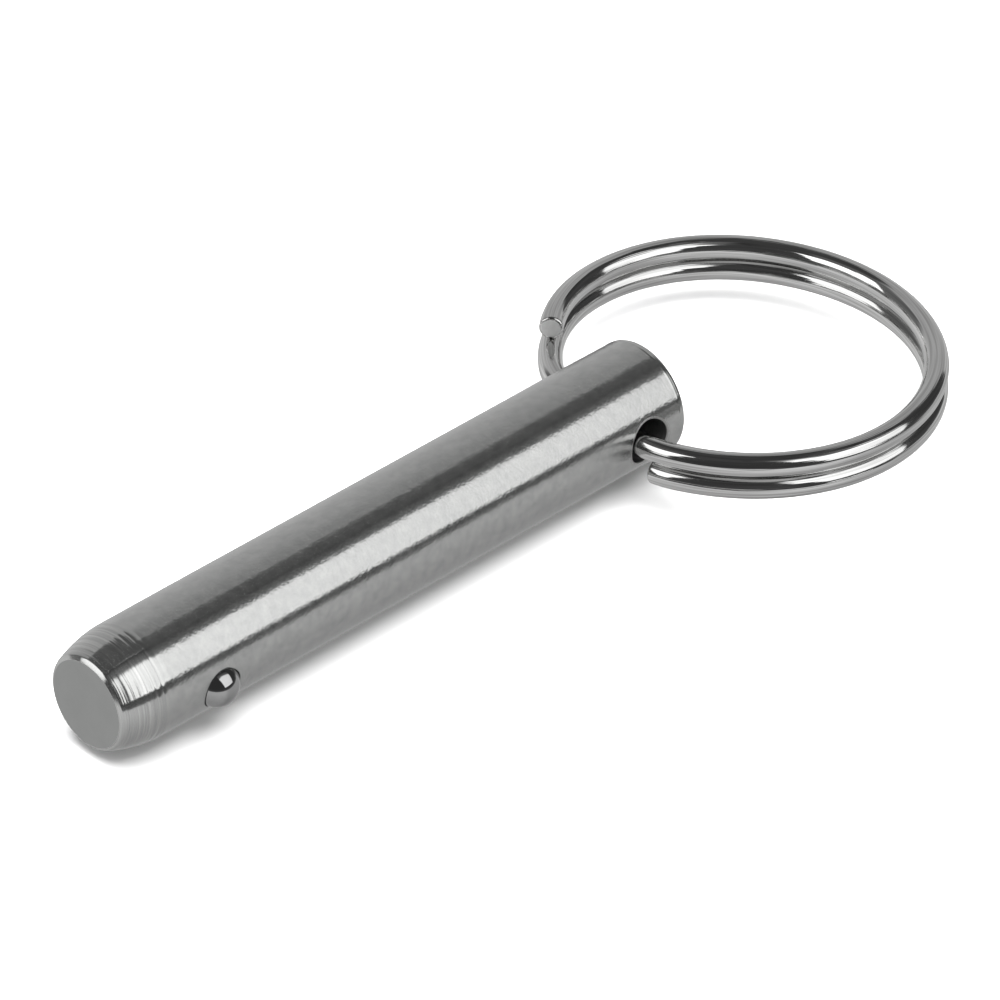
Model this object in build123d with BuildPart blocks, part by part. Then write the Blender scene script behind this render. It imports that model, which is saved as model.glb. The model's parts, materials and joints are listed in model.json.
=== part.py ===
from build123d import *
import os
from math import cos, pi, radians, sin, sqrt, tan

# Ball-lock hitch pin with a split ring: a solid 3/8 in shank, a sprung ball near its nose,
# and a two-coil ring through a cross hole in its head. Millimetres.
# +X runs along the shank to the nose, +Y is the side that the cross hole and ball face,
# and the origin is on the shank's axis, midway along the length that a hitch uses.

# Shank
shank_r = 4.7625
seat_length = 40.2
seat_to_cross_hole = 2.4
seat_end_relief = 0.02
head_length = 3.94
head_chamfer = 0.19

# Nose, measured along X from the cross hole
nose_start = 50.4
nose_middle = 52.4
nose_middle_r = 4.44
rim_x = 54.17
rim_r = 3.90
tip_x = 54.34
tip_r = 3.60

# Cross hole for the ring
cross_hole_r = 1.9
cross_hole_break = 0.12

# Ball and its blind bore, with the ball axis turned about the shank from +Y
ball_from_cross_hole = 44.9
ball_clock = -8.3
ball_r = 1.786
ball_rise = 4.04
bore_r = 1.81
bore_floor = -2.7
drill_point_angle = 118
lip_r = 1.74
lip_rise = 4.475
lip_start_rise = 4.32
mouth_r = 1.80
mouth_overcut = 1

# Spring under the ball
spring_wire_r = 0.175
spring_coil_r = 1.45
spring_pitch = 0.86
seat_clearance = 0.02

# Split ring: one wire wound nearly two turns, a little oval, flattened where it passes
# through the cross hole, and climbing from the lower coil to the upper one there. Heights are
# counted in turns from the ring's mid-plane, and angles in degrees.
wire_r = 0.975
coil_pitch = 1.978
ring_r = 14.92
ring_narrowing = 0.38
narrowing_angle = 5
flat_depth = 0.88
flat_angle = -9.5
flat_half_angle = 33
climb_from = -168
climb_to = 70
level_turn = 1.5
ring_tilt = 3.2
ring_offset = (-13.21, 1.86, -0.62)
ring_start_angle = 16
ring_stop_angle = 668
ring_step = 24

cross_x = -(seat_to_cross_hole + seat_length / 2)
seat_start_x = -seat_length / 2
seat_end_x = seat_length / 2
head_x = cross_x - head_length
relieved_r = shank_r - seat_end_relief

ball_x = cross_x + ball_from_cross_hole
ball_axis = Vector(0, cos(radians(ball_clock)), sin(radians(ball_clock)))
drill_point_depth = bore_r / tan(radians(drill_point_angle / 2))
ball_plane = Plane(origin=(ball_x, 0, 0), x_dir=(1, 0, 0), z_dir=Vector(1, 0, 0).cross(ball_axis))

# The ring's own plane: its angles start at +X and turn towards +Y
ring_plane = Plane(Location((cross_x, 0, 0)) * Location(ring_offset, (ring_tilt, 0, 0)))


def climb(angle):
    """How far the wire has climbed from one coil to the next, from 0 to 1."""
    share = min(max((angle - climb_from) / (climb_to - climb_from), 0), 1)
    return share * share * (3 - 2 * share)


def coil_point(turned):
    """A point of the wire's centre line, after turning so far in degrees."""
    turns = (turned + 180) // 360
    angle = turned - 360 * turns
    height = coil_pitch * (turns - level_turn + climb(angle))
    radius = ring_r - ring_narrowing * cos(radians(2 * (angle - narrowing_angle)))
    off_flat = abs(angle - flat_angle) / flat_half_angle
    if off_flat < 1:
        radius -= flat_depth * cos(pi / 2 * off_flat) ** 2
    in_ring = Vector(radius * cos(radians(angle)), radius * sin(radians(angle)), height)
    return ring_plane.from_local_coords(in_ring)


def coil_direction(turned, step=0.01):
    """The wire's direction of travel at this angle."""
    return (coil_point(turned + step) - coil_point(turned - step)).normalized()


def two_arcs(start, start_dir, stop, stop_dir):
    """Two arcs that meet in line and join both points in their given directions."""
    span = stop - start
    both = start_dir + stop_dir
    a = 2 * (1 - start_dir.dot(stop_dir))
    b = span.dot(both)
    reach = span.dot(span) / (b + sqrt(b * b + a * span.dot(span)))
    first_corner = start + start_dir * reach
    last_corner = stop - stop_dir * reach
    middle = (first_corner + last_corner) * 0.5
    TangentArc(start, middle, tangent=start_dir)
    TangentArc(middle, stop, tangent=last_corner - first_corner)


# Pin body: turned from bar, with the cross hole drilled right through and the ball's
# blind bore closed at its mouth by a rolled lip. The seat is ground to size, and the
# stretches past its two ends fall away by the relief.
with BuildPart() as pin_body:
    with BuildSketch(Plane.XY):
        with BuildLine():
            Polyline(
                (cross_x + tip_x, 0),
                (head_x, 0),
                (head_x, relieved_r - head_chamfer),
                (head_x + head_chamfer, relieved_r),
                (seat_start_x, shank_r),
                (seat_end_x, shank_r),
                (cross_x + nose_start, relieved_r),
            )
            ThreePointArc(
                (cross_x + nose_start, relieved_r),
                (cross_x + nose_middle, nose_middle_r),
                (cross_x + rim_x, rim_r),
            )
            Polyline(
                (cross_x + rim_x, rim_r),
                (cross_x + tip_x, tip_r),
                (cross_x + tip_x, 0),
            )
        make_face()
    revolve(axis=Axis.X)
    with BuildSketch(Plane.XZ):
        with Locations((cross_x, 0)):
            Circle(cross_hole_r)
    extrude(amount=2 * shank_r, both=True, mode=Mode.SUBTRACT)
    mouths = pin_body.edges(Select.LAST).filter_by(GeomType.BSPLINE)
    chamfer(mouths, cross_hole_break)
    with BuildSketch(ball_plane):
        with BuildLine():
            Polyline(
                (0, bore_floor - drill_point_depth),
                (bore_r, bore_floor),
                (bore_r, lip_start_rise),
                (lip_r, lip_rise),
                (mouth_r, shank_r),
                (mouth_r, shank_r + mouth_overcut),
                (0, shank_r + mouth_overcut),
                close=True,
            )
        make_face()
    revolve(axis=Axis(ball_plane.origin, ball_axis), mode=Mode.SUBTRACT)

# Detent ball, resting outwards against the lip
with BuildPart() as detent_ball:
    with Locations(ball_plane.origin + ball_axis * ball_rise):
        Sphere(ball_r)

# Detent spring, standing on the bore's drill point and cupping the ball
spring_contact_r = ball_r + spring_wire_r + seat_clearance
spring_top = ball_rise - sqrt(spring_contact_r**2 - spring_coil_r**2)
spring_foot = bore_floor + spring_wire_r
spring_height = spring_top - spring_foot
with BuildPart() as detent_spring:
    with BuildLine() as spring_wire:
        Helix(
            pitch=spring_pitch,
            height=spring_height,
            radius=spring_coil_r,
            center=ball_plane.origin + ball_axis * spring_foot,
            direction=ball_axis,
        )
    with BuildSketch(Plane(origin=spring_wire.line @ 0, z_dir=spring_wire.line % 0)):
        Circle(spring_wire_r)
    sweep(path=spring_wire.line, is_frenet=True)

# Split ring, through the cross hole
with BuildPart() as split_ring:
    stops = list(range(ring_step, ring_stop_angle, ring_step))
    turned = [ring_start_angle, *stops, ring_stop_angle]
    with BuildLine() as ring_wire:
        for start, stop in zip(turned, turned[1:]):
            two_arcs(coil_point(start), coil_direction(start), coil_point(stop), coil_direction(stop))
    ring_path = ring_wire.wire()
    with BuildSketch(Plane(origin=ring_path @ 0, z_dir=ring_path % 0)):
        Circle(wire_r)
    sweep(path=ring_path)

pin_body.part.label = "pin_body"
detent_ball.part.label = "detent_ball"
detent_spring.part.label = "detent_spring"
split_ring.part.label = "split_ring"

os.makedirs("parts", exist_ok=True)
export_step(pin_body.part, "parts/pin_body.step")
export_step(detent_ball.part, "parts/detent_ball.step")
export_step(detent_spring.part, "parts/detent_spring.step")
export_step(split_ring.part, "parts/split_ring.step")
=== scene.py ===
import json
import random
from math import asin, atan2, cos, degrees, pi, radians, sin, sqrt, tan

import bmesh
import bpy
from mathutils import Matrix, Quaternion, Vector


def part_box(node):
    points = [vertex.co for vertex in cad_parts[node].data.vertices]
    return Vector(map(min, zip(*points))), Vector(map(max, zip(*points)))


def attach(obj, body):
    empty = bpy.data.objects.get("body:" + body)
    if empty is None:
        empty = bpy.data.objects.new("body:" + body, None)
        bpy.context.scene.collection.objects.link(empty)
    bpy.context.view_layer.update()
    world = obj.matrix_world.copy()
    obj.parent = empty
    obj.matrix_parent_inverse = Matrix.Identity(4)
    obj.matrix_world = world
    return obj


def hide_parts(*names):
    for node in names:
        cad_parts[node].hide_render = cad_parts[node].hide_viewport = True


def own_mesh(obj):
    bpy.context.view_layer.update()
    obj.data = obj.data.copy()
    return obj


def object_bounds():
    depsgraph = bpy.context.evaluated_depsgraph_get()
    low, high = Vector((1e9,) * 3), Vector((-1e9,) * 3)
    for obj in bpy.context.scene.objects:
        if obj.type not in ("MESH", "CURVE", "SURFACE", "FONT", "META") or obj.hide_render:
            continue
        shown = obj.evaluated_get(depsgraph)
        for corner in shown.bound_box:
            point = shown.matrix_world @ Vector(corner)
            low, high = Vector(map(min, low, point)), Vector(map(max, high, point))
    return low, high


# Looks of the ball-lock hitch pin: its ground shank, polished ball, spring and split ring.
# Lengths are in metres unless they are written times mm, and angles are in degrees.
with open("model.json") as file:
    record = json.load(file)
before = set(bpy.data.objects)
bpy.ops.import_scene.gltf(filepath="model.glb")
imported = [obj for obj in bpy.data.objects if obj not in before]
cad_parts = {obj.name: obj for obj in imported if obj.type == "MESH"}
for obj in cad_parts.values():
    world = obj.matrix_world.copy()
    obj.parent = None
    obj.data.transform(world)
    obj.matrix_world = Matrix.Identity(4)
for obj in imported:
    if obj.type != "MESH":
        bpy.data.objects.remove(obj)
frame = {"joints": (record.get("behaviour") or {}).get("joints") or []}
cad_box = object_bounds()
mm = 0.001

# The frame's own places
joints = {joint["name"]: joint for joint in frame["joints"]}
pin_low, pin_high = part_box("pin_body")
ball_low, ball_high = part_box("detent_ball")
head_x = pin_low.x
tip_x = pin_high.x
shank_r = 4.7625 * mm
cross_x = joints["ring_swing"]["pos_m"][0]
ball_axis = -Vector(joints["ball_press"]["axis"]).normalized()
ball_centre = (ball_low + ball_high) / 2
spring_foot = Vector(joints["ball_press"]["deforming_nodes"][0]["fixed_end_m"])

# Shank, with its nose measured back from the tip
relieved_r = shank_r - 0.02 * mm
seat_half_length = 20.1 * mm
head_round = 0.40 * mm
head_ridge_width = 0.30 * mm
head_ridge_height = 0.018 * mm
head_ridge_middle = 0.6
turned_head_x = head_x + head_round + head_ridge_width
nose_start = (tip_x - 3.94 * mm, relieved_r)
nose_middle = (tip_x - 1.94 * mm, 4.44 * mm)
nose_rim = (tip_x - 0.17 * mm, 3.90 * mm)
rim_x = tip_x - 0.23 * mm
rim_round = 0.30 * mm
tip_r = 3.60 * mm
tip_round = 0.05 * mm
shank_columns = 192
# The second slot holds the walls of the holes, whose near-black colour is painted shade
ground_slot, bore_painted_shade_slot, faced_slot, worn_slot = range(4)
head_row_step = 0.02 * mm
seat_row_step = 1.0 * mm
end_face_rings = (1, 0.97, 0.85, 0.6, 0.3)

# Turning marks left on the nose by the lathe: grooves that grow steeper towards the rim, and
# that run deeper and shallower several times on their way round. The higher a set's rarity,
# the fewer of its marks are steep.
marks_start = tip_x - 4.6 * mm
marks_seed = 7
mark_swell = 0.35
mark_swell_counts = (2, 7)
mark_sets = (
    {"width": (0.12 * mm, 0.28 * mm), "slope": (0.04, 0.50), "rarity": 2},
    {"width": (0.35 * mm, 0.60 * mm), "slope": (0.08, 0.30), "rarity": 1},
)
mark_row_step = 0.022 * mm

# The turned finish past both ends of the ground one
ground_middle_x = (marks_start + turned_head_x) / 2
ground_half_length = (marks_start - turned_head_x) / 2
turned_blend = 0.1 * mm
striped_blend = 1.4 * mm

# Cross hole and ball bore
cross_hole_r = 1.9 * mm
cross_hole_break = 0.12 * mm
worn_width = 0.08 * mm
worn_height = 0.008 * mm
worn_rows = 6
cross_hole_rows = 14
cross_hole_angles = (90, 270)
ball_angle = 90 + 8.3
bore_r = 1.81 * mm
bore_floor = -2.7 * mm
drill_point_angle = 118
lip_r = 1.74 * mm
lip_rise = 4.475 * mm
lip_start_rise = 4.32 * mm
mouth_r = 1.80 * mm
mouth_break = 0.02 * mm
lip_depth = 0.1 * mm
lip_rows = 7
bore_row_step = 0.5 * mm
patch_half_length = 3.0 * mm
patch_half_angle = 30
patch_step = 0.3 * mm
patch_rings = 9

# Points nearer than this count as one
touching = 1e-7

# Spring
spring_wire_r = 0.175 * mm
spring_coil_r = 1.45 * mm
spring_turns = 7.5
spring_closed_turns = 1.0
spring_closed_pitch = 2.05 * spring_wire_r
spring_top_gap = 1.35 * mm
spring_end_round = 0.03 * mm
spring_columns = 14
spring_turn_steps = 40

# Split ring: the same centre line as the frame's ring
wire_r = 0.975 * mm
coil_pitch = 1.978 * mm
level_turn = 1.5
ring_r = 14.92 * mm
ring_narrowing = 0.38 * mm
narrowing_angle = 5
flat_depth = 0.88 * mm
flat_angle = -9.5
flat_half_angle = 33
climb_from = -168
climb_to = 70
ring_tilt = 3.2
ring_offset = Vector((-13.21, 1.86, -0.62)) * mm
ring_start_angle = 16
ring_stop_angle = 668
ring_step = 1
ring_end_round = 0.21 * mm
wire_columns = 48
wire_end_rings = (0.35, 0.75)

# Camera
camera_place = Vector((0.41512, 0.40214, 0.44672))
camera_aim = Vector((-0.00870, 0.00233, 0))
camera_roll = 3.639
lens_mm = 347.5
sensor_mm = 36

# Studio: softboxes are given by the azimuth and elevation of their corners, with azimuth
# from +Y towards +X
softbox_distance = 1.0
softboxes = {
    "softbox_left": [(-46, 9), (2, 11), (66, 71), (-80, 52)],
    "softbox_right": [(92, 12), (140, 9), (147, 39), (90, 56)],
}
softbox_radiance = 2.1

# How bright a softbox is across and up its panel, as pairs of a place and a share
levels_across = {
    "softbox_left": ((0, 0), (0.04, 0.76), (0.3, 0.80), (0.5, 0.84), (0.96, 0.88), (1, 0)),
    "softbox_right": ((0, 0), (0.04, 1), (0.96, 1), (1, 0)),
}
levels_up = {
    "softbox_left": (
        (0, 0), (0.015, 1.12), (0.05, 1.12), (0.08, 0.96), (0.60, 1),
        (0.64, 0.88), (0.67, 0.32), (0.71, 0.13), (0.85, 0.07), (1, 0),
    ),
    "softbox_right": ((0, 0), (0.04, 1), (0.96, 1), (1, 0)),
}

# What reflections see past the softboxes. Each goes from its first level, where its edge
# starts, to its second, where it stops. An edge lies in a direction's height along Z, in its
# share along X, or in its cosine to an azimuth and elevation.
horizon_glow = {"edge": (0.0, 0.18), "levels": (0.14, 0.08)}
spill = {"towards": (-35, 68), "edge": (0.968, 0.985), "levels": (0, 0.42)}
beyond = {"towards": (180, -14), "edge": (0.0, 0.035), "levels": (0, 1)}
dark_patch = {"towards": (-160, 69), "edge": (0.92, 0.935), "levels": (1, 0)}
aside_fade = {"edge": (-0.05, 0.15), "levels": (1, 0.2)}
backdrop_fall = {"edge": (-0.1, 0.8), "levels": (0.79, 0.55)}
table_rise = {"edge": (-1, -0.3), "levels": (0.50, 0.80)}
table_aside = {"edge": (-0.28, 0.05), "levels": (1, 1.32)}
table_border = {"edge": (-0.09, -0.01), "levels": (1, 0)}
surround_level = 0.9

# Floor and lamp
floor_half_width = 3.0
floor_grey = (0.8, 0.8, 0.8, 1)
lamp_height = 1.2
lamp_width = 1.6
lamp_watts = 55


def direction(azimuth, elevation):
    """The unit vector towards an azimuth and elevation."""
    a, e = radians(azimuth), radians(elevation)
    return Vector((cos(e) * sin(a), cos(e) * cos(a), sin(e)))


def link_object(name, data):
    """A new object in the scene."""
    made = bpy.data.objects.new(name, data)
    bpy.context.scene.collection.objects.link(made)
    return made


# Mesh building


def add_grid(bm, rows, closed=True, holes=(), slot=0):
    """Quads between rows of points, with windows left open where holes says."""
    made = [[bm.verts.new(point) for point in row] for row in rows]
    count = len(rows[0])
    for i, (near, far) in enumerate(zip(made, made[1:])):
        for j in range(count if closed else count - 1):
            if any(i0 <= i < i1 and j0 <= j < j1 for i0, i1, j0, j1 in holes):
                continue
            k = (j + 1) % count
            face = bm.faces.new((near[j], near[k], far[k], far[j]))
            face.material_index = slot
    return made


def add_fan(bm, row, centre, slot=0):
    """Triangles from a closed row of points to one centre."""
    verts = [bm.verts.new(point) for point in row]
    hub = bm.verts.new(centre)
    for near, far in zip(verts, verts[1:] + verts[:1]):
        face = bm.faces.new((near, far, hub))
        face.material_index = slot


def finish_mesh(bm, name, materials, sharp_angle=35, weld=2e-8):
    """Welds the borders, turns faces outwards and makes a smooth object with sharp edges kept."""
    bmesh.ops.remove_doubles(bm, verts=bm.verts, dist=weld)
    bmesh.ops.recalc_face_normals(bm, faces=bm.faces)
    mesh = bpy.data.meshes.new(name)
    bm.to_mesh(mesh)
    bm.free()
    mesh.polygons.foreach_set("use_smooth", [True] * len(mesh.polygons))
    mesh.set_sharp_from_angle(angle=radians(sharp_angle))
    for material in materials:
        mesh.materials.append(material)
    return link_object(name, mesh)


# Node building


def add_node(tree, kind, inputs=None, **settings):
    """A shader node, with each input set to a value or joined to a socket."""
    node = tree.nodes.new(kind)
    for name, value in settings.items():
        setattr(node, name, value)
    for key, value in (inputs or {}).items():
        if isinstance(value, bpy.types.NodeSocket):
            tree.links.new(value, node.inputs[key])
        else:
            node.inputs[key].default_value = value
    return node


def new_material(name):
    """A material with an empty node tree."""
    material = bpy.data.materials.new(name)
    material.use_nodes = True
    material.node_tree.nodes.clear()
    return material


def new_steel(name):
    """A new material, its node tree, and the place on the piece that its patterns follow."""
    material = new_material(name)
    tree = material.node_tree
    place = add_node(tree, "ShaderNodeTexCoord").outputs["Object"]
    return material, tree, place


def end_tree(tree, shader, kind="ShaderNodeOutputMaterial"):
    """Joins a shader to the tree's output."""
    output = add_node(tree, kind)
    tree.links.new(shader.outputs[0], output.inputs["Surface"])


def calculate(tree, operation, first, second=0):
    """A value worked out from one or two others."""
    return add_node(tree, "ShaderNodeMath", {0: first, 1: second}, operation=operation).outputs[0]


def mix(tree, share, first, second):
    """A value between two others."""
    return add_node(tree, "ShaderNodeMix", {0: share, 2: first, 3: second}).outputs[0]


def noise(tree, place, scale, stretch=(1, 1, 1), detail=3, roughness=0.55):
    """A noise value whose features are 1 / (scale * stretch) metres long on each axis."""
    moved = add_node(tree, "ShaderNodeVectorMath", {0: place, 1: stretch}, operation="MULTIPLY")
    inputs = {"Vector": moved.outputs[0], "Scale": scale, "Detail": detail, "Roughness": roughness}
    return add_node(tree, "ShaderNodeTexNoise", inputs).outputs["Fac"]


def spread(tree, value, low, high, start=0.3, stop=0.7):
    """A value between start and stop, spread over low to high."""
    inputs = {"Value": value, "From Min": start, "From Max": stop, "To Min": low, "To Max": high}
    return add_node(tree, "ShaderNodeMapRange", inputs).outputs["Result"]


def tint(tree, value, dark, light):
    """A colour between two others."""
    inputs = {0: value, 6: (*dark, 1), 7: (*light, 1)}
    return add_node(tree, "ShaderNodeMix", inputs, data_type="RGBA").outputs[2]


def bump(tree, height, depth, normal=None):
    """A normal bent by a height of this depth in metres."""
    inputs = {"Height": height, "Distance": depth, "Strength": 1}
    if normal is not None:
        inputs["Normal"] = normal
    return add_node(tree, "ShaderNodeBump", inputs).outputs["Normal"]


def metal(material, inputs, metallic=1):
    """Ends a material with a metallic shader."""
    tree = material.node_tree
    end_tree(tree, add_node(tree, "ShaderNodeBsdfPrincipled", {"Metallic": metallic, **inputs}))
    return material


def ground_steel():
    """Steel ground along the shank, and turned, with paler cuts, past both ends of the grinding."""
    material, tree, place = new_steel("ground_steel")
    lines = noise(tree, place, 1, stretch=(3600, 900, 900), detail=2)
    grain = noise(tree, place, 1, stretch=(4600, 4000, 4000), detail=1)
    waves = noise(tree, place, 1, stretch=(700, 400, 400), detail=1)
    cloud = noise(tree, place, 1100, detail=4)
    cuts = noise(tree, place, 1, stretch=(5200, 60, 60), detail=2)
    around = add_node(tree, "ShaderNodeTangent", direction_type="RADIAL", axis="X").outputs[0]
    along = add_node(tree, "ShaderNodeSeparateXYZ", {0: place}).outputs["X"]
    along = calculate(tree, "SUBTRACT", along, ground_middle_x)
    off_middle = calculate(tree, "ABSOLUTE", along)
    turned_edge = (ground_half_length - turned_blend, ground_half_length + turned_blend)
    turned = spread(tree, off_middle, 0, 1, *turned_edge)
    striped = spread(tree, off_middle, 0, 1, ground_half_length, ground_half_length + striped_blend)
    ground_shade = spread(tree, cloud, 0, 0.42)
    turned_shade = spread(tree, cuts, 0.18, 0.75, start=0.45, stop=0.68)
    ground_roughness = spread(tree, cloud, 0.18, 0.22)
    turned_roughness = spread(tree, cloud, 0.13, 0.17)
    normal = bump(tree, waves, 0.008 * mm)
    normal = bump(tree, lines, 0.004 * mm, normal)
    normal = bump(tree, mix(tree, turned, grain, 0.5), 0.009 * mm, normal)
    shade = mix(tree, striped, ground_shade, turned_shade)
    return metal(material, {
        "Base Color": tint(tree, shade, (0.43, 0.435, 0.43), (0.62, 0.62, 0.61)),
        "Roughness": mix(tree, turned, ground_roughness, turned_roughness),
        "Anisotropic": 0.95,
        "Anisotropic Rotation": 0.25,
        "Tangent": around,
        "Normal": normal,
    }, metallic=0.98)


def faced_steel():
    """The flat ends of the shank, faced on the lathe to an even satin grey."""
    material, tree, place = new_steel("faced_steel")
    cloud = noise(tree, place, 600, detail=4)
    grain = noise(tree, place, 9000, detail=2)
    return metal(material, {
        "Base Color": tint(tree, spread(tree, cloud, 0, 1), (0.36, 0.365, 0.36), (0.385, 0.39, 0.385)),
        "Roughness": spread(tree, cloud, 0.30, 0.36),
        "Normal": bump(tree, grain, 0.0015 * mm),
    })


def worn_steel():
    """The broken edges of the cross hole, which the ring has rubbed."""
    material, tree, place = new_steel("worn_steel")
    rubs = noise(tree, place, 5000, detail=3)
    return metal(material, {
        "Base Color": tint(tree, spread(tree, rubs, 0, 1), (0.36, 0.36, 0.355), (0.46, 0.46, 0.455)),
        "Roughness": spread(tree, rubs, 0.25, 0.42),
        "Normal": bump(tree, rubs, 0.004 * mm),
    }, metallic=0.96)


def sheared_steel():
    """The wire's cut ends, rougher and paler than the drawn wire."""
    material, tree, place = new_steel("sheared_steel")
    cloud = noise(tree, place, 1500, detail=4)
    tears = noise(tree, place, 1, stretch=(2500, 2500, 9000))
    return metal(material, {
        "Base Color": tint(tree, spread(tree, cloud, 0, 1), (0.60, 0.605, 0.60), (0.70, 0.70, 0.695)),
        "Roughness": spread(tree, cloud, 0.45, 0.60),
        "Normal": bump(tree, tears, 0.01 * mm),
    }, metallic=0.8)


def drilled_steel():
    """The inside of a drilled hole, its colour painted near-black as shade where little light reaches in.
    """
    material, tree, place = new_steel("drilled_steel")
    feed_marks = noise(tree, place, 1, stretch=(900, 7000, 900))
    return metal(material, {
        # Near-black base colour: painted shade for the unlit inside of the holes
        "Base Color": tint(tree, spread(tree, feed_marks, 0, 1), (0.07, 0.07, 0.07), (0.12, 0.12, 0.12)),
        "Roughness": spread(tree, feed_marks, 0.4, 0.6),
        "Normal": bump(tree, feed_marks, 0.01 * mm),
    }, metallic=0.7)


def ball_steel():
    """A polished bearing ball with the faintest haze."""
    material, tree, place = new_steel("ball_steel")
    haze = noise(tree, place, 900, detail=4)
    return metal(material, {
        "Base Color": tint(tree, spread(tree, haze, 0, 1), (0.35, 0.35, 0.35), (0.39, 0.39, 0.39)),
        "Roughness": spread(tree, haze, 0.03, 0.07),
    })


def ring_steel():
    """Bright drawn wire, with the die's fine dark and light lines following the wire."""
    material = new_material("ring_steel")
    tree = material.node_tree
    straight = add_node(tree, "ShaderNodeAttribute", attribute_name="along_wire").outputs["Vector"]
    lines = noise(tree, straight, 1, stretch=(4200, 4200, 90), detail=2)
    shade = spread(tree, lines, 0, 1, start=0.35, stop=0.6)
    return metal(material, {
        "Base Color": tint(tree, shade, (0.44, 0.44, 0.435), (0.65, 0.65, 0.645)),
        "Roughness": spread(tree, lines, 0.12, 0.05),
        "Normal": bump(tree, lines, 0.03 * mm),
    })


def spring_steel():
    """Drawn music wire with a light oil film."""
    material, tree, place = new_steel("spring_steel")
    cloud = noise(tree, place, 2500, detail=3)
    return metal(material, {
        "Base Color": tint(tree, spread(tree, cloud, 0, 1), (0.30, 0.30, 0.31), (0.42, 0.42, 0.42)),
        "Roughness": spread(tree, cloud, 0.22, 0.36),
    })


# Shank


def circle_through(a, b, c):
    """The centre and radius of the circle through three points of a profile."""
    (ax, ay), (bx, by), (cx, cy) = a, b, c
    d = 2 * (ax * (by - cy) + bx * (cy - ay) + cx * (ay - by))
    aa, bb, cc = ax * ax + ay * ay, bx * bx + by * by, cx * cx + cy * cy
    x = (aa * (by - cy) + bb * (cy - ay) + cc * (ay - by)) / d
    y = (aa * (cx - bx) + bb * (ax - cx) + cc * (bx - ax)) / d
    return x, y, sqrt((ax - x) ** 2 + (ay - y) ** 2)


nose_arc = circle_through(nose_start, nose_middle, nose_rim)


def body_radius(x):
    """The shank's radius at x between its head's edge and the nose's rim, before the marks."""
    if x < -seat_half_length:
        share = (x - head_x) / (-seat_half_length - head_x)
        return relieved_r + (shank_r - relieved_r) * share
    if x <= seat_half_length:
        return shank_r
    if x <= nose_start[0]:
        share = (x - seat_half_length) / (nose_start[0] - seat_half_length)
        return shank_r + (relieved_r - shank_r) * share
    arc_x, arc_y, arc_r = nose_arc
    return arc_y + sqrt(arc_r ** 2 - (x - arc_x) ** 2)


def turning_marks():
    """Each groove's middle, width, depth, deepest angle and number of swells, and the head's ridge."""
    draw = random.Random(marks_seed)
    marks = []
    for kind in mark_sets:
        widths, slopes = kind["width"], kind["slope"]
        x = marks_start
        while x < rim_x - widths[0]:
            width = draw.uniform(*widths)
            nearness = (x - marks_start) / (rim_x - marks_start)
            slope = slopes[0] + (slopes[1] - slopes[0]) * draw.random() ** kind["rarity"]
            slope *= 0.5 + 0.5 * nearness
            deepest_angle, swells = draw.uniform(0, 360), draw.randint(*mark_swell_counts)
            marks.append((x + width / 2, width, slope * width / pi, deepest_angle, swells))
            x += width
    ridge_x = head_x + head_round + head_ridge_middle * head_ridge_width
    marks.append((ridge_x, head_ridge_width, -head_ridge_height, 0, 1))
    return marks


def mark_depth_at(x, angle, marks):
    """How deep the marks are at this place on the shank, or how high the ridge is, as a minus."""
    depth = 0
    for middle, width, deepest, deepest_angle, swells in marks:
        off = abs(x - middle) / (width / 2)
        if off < 1:
            uneven = 1 - mark_swell + mark_swell * cos(radians(swells * (angle - deepest_angle)))
            depth += deepest * uneven * cos(pi / 2 * off) ** 2
    return depth


def evenly(start, stop, step):
    """Values from start to stop, about a step apart and seldom more."""
    count = max(1, round(abs(stop - start) / step + 0.49))
    return [start + (stop - start) * i / count for i in range(count + 1)]


def quarter_round(radius, steps=3):
    """Offsets that turn a corner: back from each face by the radius."""
    turned = [pi / 2 * i / steps for i in range(steps + 1)]
    return [(radius * (1 - sin(t)), radius * (1 - cos(t))) for t in turned]


def rounded_corner(before, corner, after, radius, steps=6):
    """Points of the arc that turns a profile's corner between two straight stretches."""
    before, corner, after = Vector(before), Vector(corner), Vector(after)
    back, onward = (before - corner).normalized(), (after - corner).normalized()
    half = back.angle(onward) / 2
    centre = corner + (back + onward).normalized() * radius / sin(half)
    start = corner + back * radius / tan(half) - centre
    stop = corner + onward * radius / tan(half) - centre
    turn = pi - 2 * half
    arc = []
    for i in range(steps + 1):
        share = i / steps
        point = centre + (start * sin((1 - share) * turn) + stop * sin(share * turn)) / sin(turn)
        arc.append((point.x, point.y))
    return arc


def shank_profile():
    """Points (x, radius) of the shank from its head's face to its tip's face."""
    profile = [(head_x + back, relieved_r - down) for back, down in quarter_round(head_round, steps=8)]
    profile.sort()
    stops = [
        profile[-1][0],
        cross_x - patch_half_length,
        cross_x + patch_half_length,
        ball_centre.x - patch_half_length,
        ball_centre.x + patch_half_length,
    ]
    steps = [head_row_step, patch_step, seat_row_step, patch_step]
    for start, stop, step in zip(stops, stops[1:], steps):
        profile.extend((x, body_radius(x)) for x in evenly(start, stop, step)[1:])
    before_rim = (rim_x - mark_row_step, body_radius(rim_x - mark_row_step))
    rim, tip = (rim_x, body_radius(rim_x)), (tip_x, tip_r)
    rim_arc = rounded_corner(before_rim, rim, tip, rim_round)
    nose_rows = evenly(stops[-1], rim_arc[0][0], mark_row_step)
    profile.extend((x, body_radius(x)) for x in nose_rows[1:-1])
    profile.extend(rim_arc)
    profile.extend(rounded_corner(rim, tip, (tip_x, 0), tip_round, steps=3))
    return profile


def on_shank(x, radius, angle):
    """A point at this radius, with its angle about the shank from +Z towards +Y."""
    return Vector((x, radius * sin(radians(angle)), radius * cos(radians(angle))))


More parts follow.
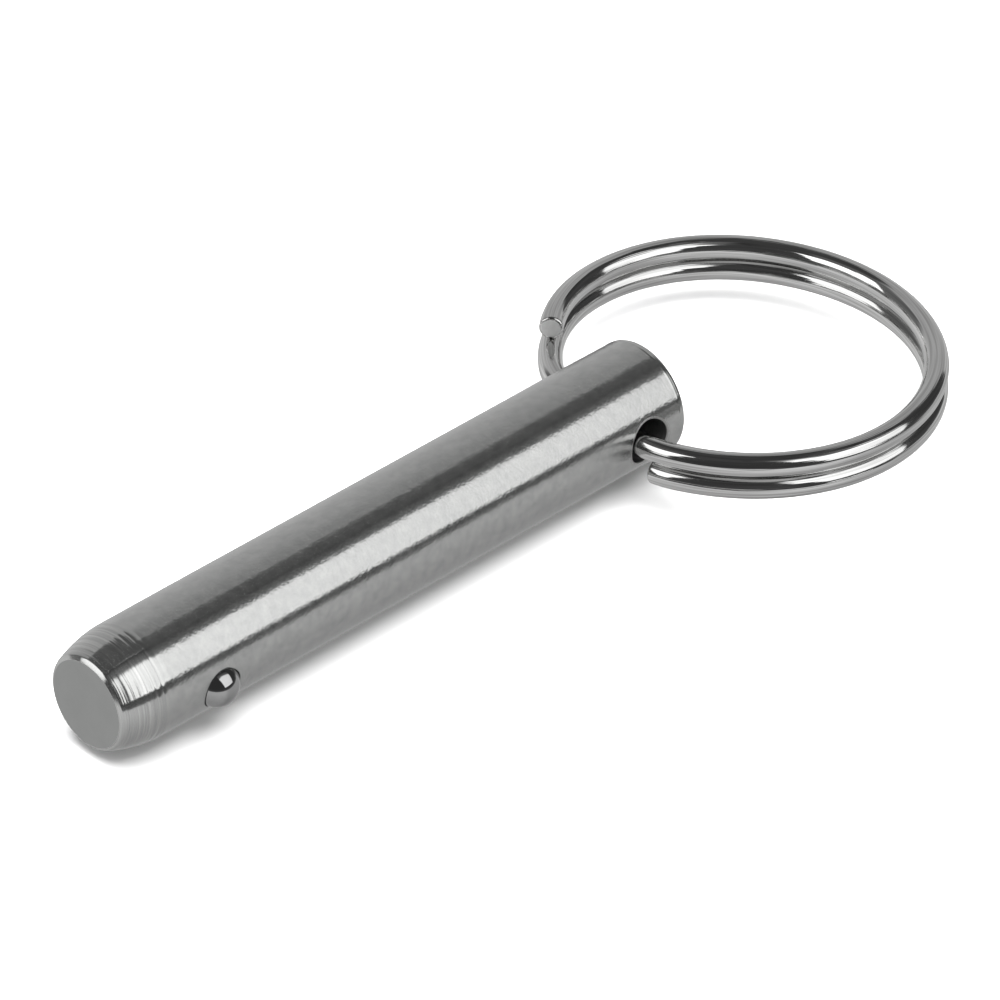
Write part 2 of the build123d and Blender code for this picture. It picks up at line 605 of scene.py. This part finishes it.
def window(profile, hole_x, hole_angle):
    """The rows and columns of the shank's grid that a hole's patch takes the place of."""
    rows = [i for i, (x, _) in enumerate(profile) if abs(x - hole_x) < patch_half_length + touching]
    column = 360 / shank_columns
    first = round((hole_angle - patch_half_angle) / column)
    last = round((hole_angle + patch_half_angle) / column)
    return rows[0], rows[-1], first, last


def window_border(profile, hole):
    """The window's border as (x, angle) pairs, in order round the hole."""
    i0, i1, j0, j1 = hole
    column = 360 / shank_columns
    border = [(i0, j) for j in range(j0, j1)]
    border += [(i, j1) for i in range(i0, i1)]
    border += [(i1, j) for j in range(j1, j0, -1)]
    border += [(i, j0) for i in range(i1, i0, -1)]
    return [(profile[i][0], j * column) for i, j in border]


def mouth_point(hole_x, hole_angle, bearing, offset, depth):
    """A point at this offset from a hole's axis and this depth below the shank's surface."""
    x = hole_x + offset * cos(bearing)
    aside = offset * sin(bearing)
    height = sqrt(body_radius(x) ** 2 - aside ** 2) - depth
    up = on_shank(0, 1, hole_angle)
    side = on_shank(0, 1, hole_angle + 90)
    return Vector((x, 0, 0)) + up * height + side * aside


def add_mouth(bm, profile, hole_x, hole_angle, outer_r):
    """Fills a window with quads from its border to a round mouth, and returns the bearings."""
    border = window_border(profile, window(profile, hole_x, hole_angle))
    bearings = []
    mouth = []
    for x, angle in border:
        aside = body_radius(x) * sin(radians(angle - hole_angle))
        bearing = atan2(aside, x - hole_x)
        mouth_x = hole_x + outer_r * cos(bearing)
        mouth_angle = hole_angle + degrees(asin(outer_r * sin(bearing) / body_radius(mouth_x)))
        bearings.append(bearing)
        mouth.append((mouth_x, mouth_angle))
    rows = []
    for ring in range(patch_rings + 1):
        share = ring / patch_rings
        share = share * (2 - share)  # closer together towards the mouth
        row = []
        for (x, angle), (mouth_x, mouth_angle) in zip(border, mouth):
            at_x = x + (mouth_x - x) * share
            at_angle = angle + (mouth_angle - angle) * share
            row.append(on_shank(at_x, body_radius(at_x), at_angle))
        rows.append(row)
    add_grid(bm, rows)
    return bearings


def add_cross_hole(bm, profile):
    """The hole for the ring, with both its mouths and their broken edges."""
    edge = quarter_round(cross_hole_break, steps=4)
    for i in range(1, worn_rows + 1):
        share = i / worn_rows
        edge.insert(0, (cross_hole_break + share * worn_width, -worn_height * sin(pi * share) ** 2))
    worn_r = cross_hole_r + cross_hole_break + worn_width
    for hole_angle in cross_hole_angles:
        bearings = add_mouth(bm, profile, cross_x, hole_angle, worn_r)
        rows = [
            [mouth_point(cross_x, hole_angle, b, cross_hole_r + off, depth) for b in bearings]
            for off, depth in edge
        ]
        add_grid(bm, rows, slot=worn_slot)
    near = [mouth_point(cross_x, cross_hole_angles[0], b, cross_hole_r, cross_hole_break) for b in bearings]
    rows = []
    for i in range(cross_hole_rows + 1):
        share = 1 - 2 * i / cross_hole_rows
        rows.append([Vector((p.x, p.y * share, p.z)) for p in near])
    add_grid(bm, rows, slot=bore_painted_shade_slot)


def lip_radius(rise):
    """The ball bore's radius at a height on the ball's axis, where its lip is rolled in."""
    if rise < lip_start_rise:
        return bore_r
    if rise < lip_rise:
        return bore_r + (lip_r - bore_r) * (rise - lip_start_rise) / (lip_rise - lip_start_rise)
    return lip_r + (mouth_r - lip_r) * (rise - lip_rise) / (shank_r - lip_rise)


def add_ball_bore(bm, profile):
    """The blind bore for the ball, with its rolled lip and drill point."""
    bore_x = ball_centre.x
    up = on_shank(0, 1, ball_angle)
    side = on_shank(0, 1, ball_angle + 90)
    bearings = add_mouth(bm, profile, bore_x, ball_angle, mouth_r + mouth_break)
    on_axis = Vector((bore_x, 0, 0))
    tops = [(mouth_point(bore_x, ball_angle, b, mouth_r, mouth_break) - on_axis).dot(up) for b in bearings]
    lip_foot = lip_start_rise - lip_depth

    def at(bearing, radius, rise):
        return Vector((bore_x + radius * cos(bearing), 0, 0)) + up * rise + side * radius * sin(bearing)

    rows = [[mouth_point(bore_x, ball_angle, b, mouth_r + mouth_break, 0) for b in bearings]]
    for i in range(lip_rows + 1):
        rises = [top + (lip_foot - top) * i / lip_rows for top in tops]
        rows.append([at(b, lip_radius(rise), rise) for b, rise in zip(bearings, rises)])
    add_grid(bm, rows)
    wall_rises = evenly(lip_foot, bore_floor, bore_row_step)
    wall = [[at(b, bore_r, rise) for b in bearings] for rise in wall_rises]
    add_grid(bm, wall, slot=bore_painted_shade_slot)
    point_depth = bore_r / tan(radians(drill_point_angle / 2))
    add_fan(bm, wall[-1], on_axis + up * (bore_floor - point_depth), slot=bore_painted_shade_slot)


def make_shank():
    """The turned and ground pin body."""
    profile = shank_profile()
    marks = turning_marks()
    column = 360 / shank_columns
    rows = []
    angles = [j * column for j in range(shank_columns)]
    for x, r in profile:
        rows.append([on_shank(x, r - mark_depth_at(x, angle, marks), angle) for angle in angles])
    holes = [window(profile, cross_x, angle) for angle in cross_hole_angles]
    holes.append(window(profile, ball_centre.x, ball_angle))
    bm = bmesh.new()
    add_grid(bm, rows, holes=holes)
    for row, x in ((rows[0], head_x), (rows[-1], tip_x)):
        centre = Vector((x, 0, 0))
        face = [[centre.lerp(point, share) for point in row] for share in end_face_rings]
        add_grid(bm, face, slot=faced_slot)
        add_fan(bm, face[-1], centre, slot=faced_slot)
    add_cross_hole(bm, profile)
    add_ball_bore(bm, profile)
    made = {
        ground_slot: ground_steel(),
        bore_painted_shade_slot: drilled_steel(),
        faced_slot: faced_steel(),
        worn_slot: worn_steel(),
    }
    return finish_mesh(bm, "ground_shank", [made[slot] for slot in sorted(made)])


# Ball


def make_ball(divisions=28):
    """A ball made of six equal squares of quads, so that it has no poles."""
    radius = (ball_high.x - ball_low.x) / 2
    bm = bmesh.new()
    stops = [tan(pi / 4 * (2 * i / divisions - 1)) for i in range(divisions + 1)]
    for turn in range(3):
        for side in (-1, 1):
            rows = []
            for a in stops:
                row = []
                for b in stops:
                    corner = (a, b, side)
                    point = Vector((corner[turn], corner[(turn + 1) % 3], corner[(turn + 2) % 3]))
                    row.append(ball_centre + point.normalized() * radius)
                rows.append(row)
            add_grid(bm, rows, closed=False)
    return finish_mesh(bm, "polished_ball", [ball_steel()])


# Round wire swept along a path


def wire_rings(path, radius, columns, end_round, up):
    """Rings of points round a wire, with rounded and then flat ends."""
    corner = quarter_round(end_round, steps=6)
    sections = []
    first, last = path[0], path[-1]
    start_dir = (path[1] - first).normalized()
    stop_dir = (last - path[-2]).normalized()
    for share in wire_end_rings:
        sections.append((first, start_dir, (radius - end_round) * share))
    for back_in, back_along in reversed(corner):
        sections.append((first + start_dir * back_in, start_dir, radius - back_along))
    for before, point, after in zip(path, path[1:], path[2:]):
        sections.append((point, (after - before).normalized(), radius))
    for back_in, back_along in corner:
        sections.append((last - stop_dir * back_in, stop_dir, radius - back_along))
    for share in reversed(wire_end_rings):
        sections.append((last, stop_dir, (radius - end_round) * share))
    turns = [2 * pi * i / columns for i in range(columns)]
    rings = []
    for centre, along, size in sections:
        outward = along.cross(up).normalized()
        over = outward.cross(along)
        rings.append([centre + (outward * cos(t) + over * sin(t)) * size for t in turns])
    return rings


def sweep_wire(name, path, radius, columns, end_round, up, materials):
    """A closed wire along a path, with its last material on the cut ends.

    Each point also keeps its place on the straight wire, which the drawn lines follow.
    """
    rings = wire_rings(path, radius, columns, end_round, up)
    bm = bmesh.new()
    layer = bm.verts.layers.float_vector.new("along_wire")
    made = add_grid(bm, rings)
    run = 0
    centres = [sum(ring, Vector()) / columns for ring in rings]
    for i, row in enumerate(made):
        if i:
            run += (centres[i] - centres[i - 1]).length
        for j, vert in enumerate(row):
            t = 2 * pi * j / columns
            size = (rings[i][j] - centres[i]).length
            vert[layer] = Vector((size * cos(t), size * sin(t), run))
    for row, centre, place in ((made[0], centres[0], 0), (made[-1], centres[-1], run)):
        hub = bm.verts.new(centre)
        hub[layer] = Vector((0, 0, place))
        for near, far in zip(row, row[1:] + row[:1]):
            bm.faces.new((near, far, hub))
    cut_slot = len(materials) - 1
    for end, beside in ((path[0], path[1]), (path[-1], path[-2])):
        along = (beside - end).normalized()
        for face in bm.faces:
            if all(abs((vert.co - end).dot(along)) < touching for vert in face.verts):
                if (face.verts[0].co - end).length < 2 * radius:
                    face.material_index = cut_slot
    return finish_mesh(bm, name, materials)


# Spring


def make_spring():
    """The spring under the ball, with closed ends, and its height at rest."""
    height = (ball_centre - spring_foot).dot(ball_axis) - spring_top_gap
    side = Vector((1, 0, 0))
    across = ball_axis.cross(side)
    open_turns = spring_turns - 2 * spring_closed_turns
    open_pitch = (height - 2 * spring_closed_turns * spring_closed_pitch) / open_turns
    steps = int(spring_turns * spring_turn_steps)
    path = []
    for i in range(steps + 1):
        turn = spring_turns * i / steps
        low_turns = min(turn, spring_closed_turns)
        high_turns = max(turn - (spring_turns - spring_closed_turns), 0)
        middle_turns = turn - low_turns - high_turns
        rise = (low_turns + high_turns) * spring_closed_pitch + middle_turns * open_pitch
        t = 2 * pi * turn
        path.append(spring_foot + ball_axis * rise + (side * cos(t) + across * sin(t)) * spring_coil_r)
    size = (spring_wire_r, spring_columns, spring_end_round)
    return sweep_wire("ball_spring", path, *size, ball_axis, [spring_steel()]), height


# Split ring


def climb(angle):
    """How far the wire has climbed from one coil to the next, from 0 to 1."""
    share = min(max((angle - climb_from) / (climb_to - climb_from), 0), 1)
    return share * share * (3 - 2 * share)


def coil_point(turned):
    """A point of the ring's centre line, after turning so far in degrees."""
    turns = (turned + 180) // 360
    angle = turned - 360 * turns
    height = coil_pitch * (turns - level_turn + climb(angle))
    radius = ring_r - ring_narrowing * cos(radians(2 * (angle - narrowing_angle)))
    off_flat = abs(angle - flat_angle) / flat_half_angle
    if off_flat < 1:
        radius -= flat_depth * cos(pi / 2 * off_flat) ** 2
    x, y = radius * cos(radians(angle)), radius * sin(radians(angle))
    tilt = radians(ring_tilt)
    level = Vector((x, y * cos(tilt) - height * sin(tilt), y * sin(tilt) + height * cos(tilt)))
    return Vector((cross_x, 0, 0)) + ring_offset + level


def make_ring():
    """The split ring, wound from one wire."""
    stops = range(ring_start_angle, ring_stop_angle + ring_step, ring_step)
    path = [coil_point(turned) for turned in stops]
    tilt = radians(ring_tilt)
    up = Vector((0, -sin(tilt), cos(tilt)))
    size = (wire_r, wire_columns, ring_end_round)
    return sweep_wire("wound_ring", path, *size, up, [ring_steel(), sheared_steel()])


# Studio


def level_curve(tree, value, levels):
    """A level that runs through (value, level) pairs."""
    ramp = add_node(tree, "ShaderNodeValToRGB", {0: value})
    stops = ramp.color_ramp.elements
    while len(stops) < len(levels):
        stops.new(0.5)
    for stop, (place, level) in zip(stops, levels):
        stop.position = place
        stop.color = (level, level, level, 1)
    return ramp.outputs["Color"]


def make_softbox(name, corners):
    """A glowing panel with soft edges, seen only in reflections and by the light it gives."""
    mesh = bpy.data.meshes.new(name)
    mesh.from_pydata([direction(a, e) * softbox_distance for a, e in corners], [], [(0, 1, 2, 3)])
    uv = mesh.uv_layers.new(name="panel")
    for loop, place in zip(uv.data, ((0, 0), (1, 0), (1, 1), (0, 1))):
        loop.uv = place
    material = new_material(name)
    tree = material.node_tree
    place = add_node(tree, "ShaderNodeUVMap", uv_map="panel").outputs[0]
    axes = add_node(tree, "ShaderNodeSeparateXYZ", {0: place})
    strength = softbox_radiance
    for axis, levels in (("X", levels_across[name]), ("Y", levels_up[name])):
        level = level_curve(tree, axes.outputs[axis], levels)
        strength = calculate(tree, "MULTIPLY", level, strength)
    end_tree(tree, add_node(tree, "ShaderNodeEmission", {"Strength": strength}))
    mesh.materials.append(material)
    panel = link_object(name, mesh)
    panel.visible_camera = False
    panel.visible_shadow = False


def facing(tree, towards, azimuth, elevation):
    """How closely a direction points at an azimuth and elevation, as the cosine between them."""
    inputs = {0: towards, 1: direction(azimuth, elevation)}
    return add_node(tree, "ShaderNodeVectorMath", inputs, operation="DOT_PRODUCT").outputs["Value"]


def level_over(tree, value, look, ease="SMOOTHSTEP"):
    """A level that goes from its first to its second as a value crosses an edge."""
    (start, stop), (low, high) = look["edge"], look["levels"]
    inputs = {"Value": value, "From Min": start, "From Max": stop, "To Min": low, "To Max": high}
    return add_node(tree, "ShaderNodeMapRange", inputs, interpolation_type=ease).outputs["Result"]


def make_world():
    """A dim studio, with a grey backdrop beyond the pin and a pale table below.

    The backdrop has a dark patch high up, and light spills high on the dim side. Only
    reflections see them, and the camera sees an even, pale surround.
    """
    world = bpy.data.worlds.new("studio")
    world.use_nodes = True
    bpy.context.scene.world = world
    tree = world.node_tree
    tree.nodes.clear()
    towards = add_node(tree, "ShaderNodeTexCoord").outputs["Generated"]
    axes = add_node(tree, "ShaderNodeSeparateXYZ", {0: towards})
    aside, height = axes.outputs["X"], axes.outputs["Z"]
    spilled = level_over(tree, facing(tree, towards, *spill["towards"]), spill)
    dim = calculate(tree, "ADD", level_over(tree, height, horizon_glow), spilled)
    shown = level_over(tree, facing(tree, towards, *beyond["towards"]), beyond)
    unpatched = level_over(tree, facing(tree, towards, *dark_patch["towards"]), dark_patch)
    shown = calculate(tree, "MULTIPLY", shown, unpatched)
    shown = calculate(tree, "MULTIPLY", shown, level_over(tree, aside, aside_fade))
    backdrop = level_over(tree, height, backdrop_fall, ease="LINEAR")
    level = mix(tree, shown, dim, backdrop)
    table = level_over(tree, height, table_rise, ease="LINEAR")
    table = calculate(tree, "MULTIPLY", table, level_over(tree, aside, table_aside, ease="LINEAR"))
    level = mix(tree, level_over(tree, height, table_border), level, table)
    seen = add_node(tree, "ShaderNodeLightPath").outputs["Is Camera Ray"]
    level = mix(tree, seen, level, surround_level)
    background = add_node(tree, "ShaderNodeBackground", {"Strength": level})
    end_tree(tree, background, "ShaderNodeOutputWorld")


def make_floor():
    """A plain pale floor that the pin lies on."""
    mesh = bpy.data.meshes.new("floor")
    half, z = floor_half_width, cad_box[0].z
    corners = [(-half, -half, z), (half, -half, z), (half, half, z), (-half, half, z)]
    mesh.from_pydata(corners, [], [(0, 1, 2, 3)])
    material = new_material("pale_floor")
    tree = material.node_tree
    end_tree(tree, add_node(tree, "ShaderNodeBsdfDiffuse", {"Color": floor_grey}))
    mesh.materials.append(material)
    floor = link_object("floor", mesh)
    floor.visible_glossy = False


def make_overhead():
    """A broad lamp above, which lights the floor and is left out of reflections."""
    lamp = bpy.data.lights.new("overhead", "AREA")
    lamp.shape = "DISK"
    lamp.size = lamp_width
    lamp.energy = lamp_watts
    overhead = link_object("overhead", lamp)
    overhead.location = (0, 0, lamp_height)
    overhead.visible_glossy = False
    overhead.visible_camera = False


def make_camera():
    """The camera, looking down past the nose, with its slight roll."""
    camera = bpy.data.cameras.new("camera")
    camera.lens = lens_mm
    camera.sensor_width = sensor_mm
    camera.clip_start = 0.01
    view = link_object("camera", camera)
    view.location = camera_place
    look = (camera_aim - camera_place).to_track_quat("-Z", "Y")
    view.rotation_mode = "QUATERNION"
    view.rotation_quaternion = look @ Quaternion((0, 0, 1), radians(camera_roll))
    bpy.context.scene.camera = view


make_camera()
bpy.context.scene.view_settings.view_transform = "Standard"
make_world()
make_floor()
make_overhead()
for name, corners in softboxes.items():
    make_softbox(name, corners)

shank = make_shank()
ball = make_ball()
spring, spring_height = make_spring()
ring = make_ring()
for piece, body, node, slot in (
    (shank, "pin", "pin_body", "ground_steel"),
    (ball, "ball", "detent_ball", "ball_steel"),
    (spring, "pin", "detent_spring", "spring_wire"),
    (ring, "ring", "split_ring", "ring_wire"),
):
    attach(piece, body)
    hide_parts(node)
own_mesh(spring)
